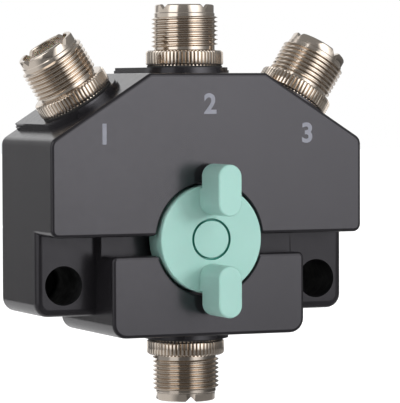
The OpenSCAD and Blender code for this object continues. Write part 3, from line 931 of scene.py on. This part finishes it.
# %% The tent's bands of light
# A stop of BANDS, CARD or ROOF is a direction in degrees and its light, and a stop
# of RISE is a height in mm and what it does to that light.
BANDS = [
    (-180, 0.26), (-154, 0.26), (-140, 0.66), (-88, 0.55), (-79, 1.45), (-51, 1.4),
    (-45, 0.2), (-8, 0.16), (4, 1.2), (12, 2.0), (20, 1.95), (28, 1.6),
    (34, 1.35), (41, 0.95), (52, 0.36), (70, 0.18), (180, 0.14),
]
RISE = [
    (FLOOR_Z, 0.35), (FLOOR_Z + 10, 0.35), (FLOOR_Z + 60, 0.75), (0, 1.0), (60, 1.2), (300, 1.45),
    (TENT_TOP, 1.6),
]
CARD = [(-180, 0.75), (-80, 0.75), (-50, 0.25), (100, 0.25), (150, 0.75), (180, 0.75)]
ROOF = [(-180, 0.3), (180, 0.3)]


def ramp(tree, source, stops):
    """A ramp from the first stop to the last, each with its place and its level."""
    first, last = stops[0][0], stops[-1][0]
    spread = node(tree, "MapRange", {"Value": source, "From Min": first, "From Max": last})
    made = node(tree, "ValToRGB", {"Fac": spread.outputs["Result"]})
    elements = made.color_ramp.elements
    while len(elements) < len(stops):
        elements.new(0.5)
    for element, (place, level) in zip(elements, stops):
        element.position = (place - first) / (last - first)
    for element, (place, level) in zip(elements, stops):
        element.color = (level, level, level, 1)
    return made.outputs["Color"]


def glowing(piece, bands, rise=None):
    """Gives a piece light that changes with the direction and, if asked, the height."""
    material = bpy.data.materials.new(piece.name + "_light")
    material.use_nodes = True
    tree = material.node_tree
    tree.nodes.remove(tree.nodes["Principled BSDF"])
    place = node(tree, "SeparateXYZ", {"Vector": node(tree, "TexCoord").outputs["Object"]})
    away = node(tree, "Math", {0: place.outputs["Y"], 1: -1.0}, operation="MULTIPLY")
    turn = node(
        tree, "Math", {0: place.outputs["X"], 1: away.outputs["Value"]}, operation="ARCTAN2"
    )
    degrees = node(tree, "Math", {0: turn.outputs["Value"]}, operation="DEGREES")
    light = node(tree, "Emission", {"Color": ramp(tree, degrees.outputs["Value"], bands)})
    if rise:
        height = node(tree, "Math", {0: place.outputs["Z"], 1: MM}, operation="DIVIDE")
        tree.links.new(ramp(tree, height.outputs["Value"], rise), light.inputs["Strength"])
    tree.links.new(light.outputs["Emission"], tree.nodes["Material Output"].inputs["Surface"])
    piece.data.materials.append(material)


glowing(tent, BANDS, RISE)
glowing(card, CARD)
glowing(roof, ROOF)
print("bands:", len(BANDS))

# %% [markdown]
# One smaller lamp stands in the key's direction. It isn't seen in the mirrors, and
# it draws the soft shadows of the wings to their left.

# %% The shadow lamp
LAMP_TURN, LAMP_RISE, LAMP_AWAY = 26, 9, 620
LAMP_W, LAMP_POWER = 130, 1.25
turn, climb = math.radians(LAMP_TURN), math.radians(LAMP_RISE)
lamp_at = LAMP_AWAY * MM * Vector(
    (math.sin(turn) * math.cos(climb), -math.cos(turn) * math.cos(climb), math.sin(climb))
)
bpy.ops.object.light_add(
    type="AREA", location=lamp_at, rotation=lamp_at.to_track_quat("Z", "Y").to_euler()
)
lamp = bpy.context.object
lamp.name = "shadow_lamp"
lamp.data.size = LAMP_W * MM
lamp.data.energy = LAMP_POWER
lamp.visible_glossy = False
print("lamp at:", [round(x / MM) for x in lamp_at], "mm")

# %% [markdown]
# ## World and floor
# The world shines in through the tent's opening. To the lens, and to whatever
# mirrors or lets through, it is plain white, so that the background stays white
# while the object's light is set on its own.


# %% The world
def seen_directly(tree):
    """1 for rays of the lens, of mirrors and of glass, and 0 for diffuse light."""
    ray = node(tree, "LightPath").outputs
    seen = ray["Is Camera Ray"]
    for kind in ("Is Glossy Ray", "Is Transmission Ray"):
        either = node(tree, "Math", {0: seen, 1: ray[kind]}, operation="MAXIMUM")
        seen = either.outputs["Value"]
    return seen


OPEN_LIGHT = 0.8
world = bpy.data.worlds.new("studio")
bpy.context.scene.world = world
world.use_nodes = True
tree = world.node_tree
level = node(
    tree, "MapRange", {"Value": seen_directly(tree), "To Min": OPEN_LIGHT, "To Max": 1.0}
)
tree.links.new(level.outputs["Result"], tree.nodes["Background"].inputs["Strength"])
tree.nodes["Background"].inputs["Color"].default_value = (1, 1, 1, 1)
print("world:", world.name, "lights with", OPEN_LIGHT)

# %% [markdown]
# The floor is a sheet of white paper. A little light of its own, which only the
# lens and the mirrors see, lifts it to the background's white, and it still keeps
# the object's shadow.

# %% The floor
FLOOR_W, PAPER, PAPER_LIFT = 12, (0.86, 0.86, 0.86), 0.55
bpy.ops.mesh.primitive_plane_add(size=FLOOR_W, location=(0, 0, FLOOR_Z * MM))
floor = bpy.context.object
floor.name = "floor"
applied(floor)
paper, tree, shader = finish_named("white_paper", Roughness=0.9, Emission_Color=(1, 1, 1, 1))
tone = placed_group(tree, clouds, {"Scale": 3.0, "Low": 0.99, "High": 1.0})
tinted(tree, shader, PAPER, tone)
lift = node(tree, "MapRange", {"Value": seen_directly(tree), "To Min": 0.0, "To Max": PAPER_LIFT})
tree.links.new(lift.outputs["Result"], shader.inputs["Emission Strength"])
floor.data.materials.append(paper)
print("floor:", FLOOR_W, "m wide at", FLOOR_Z, "mm")
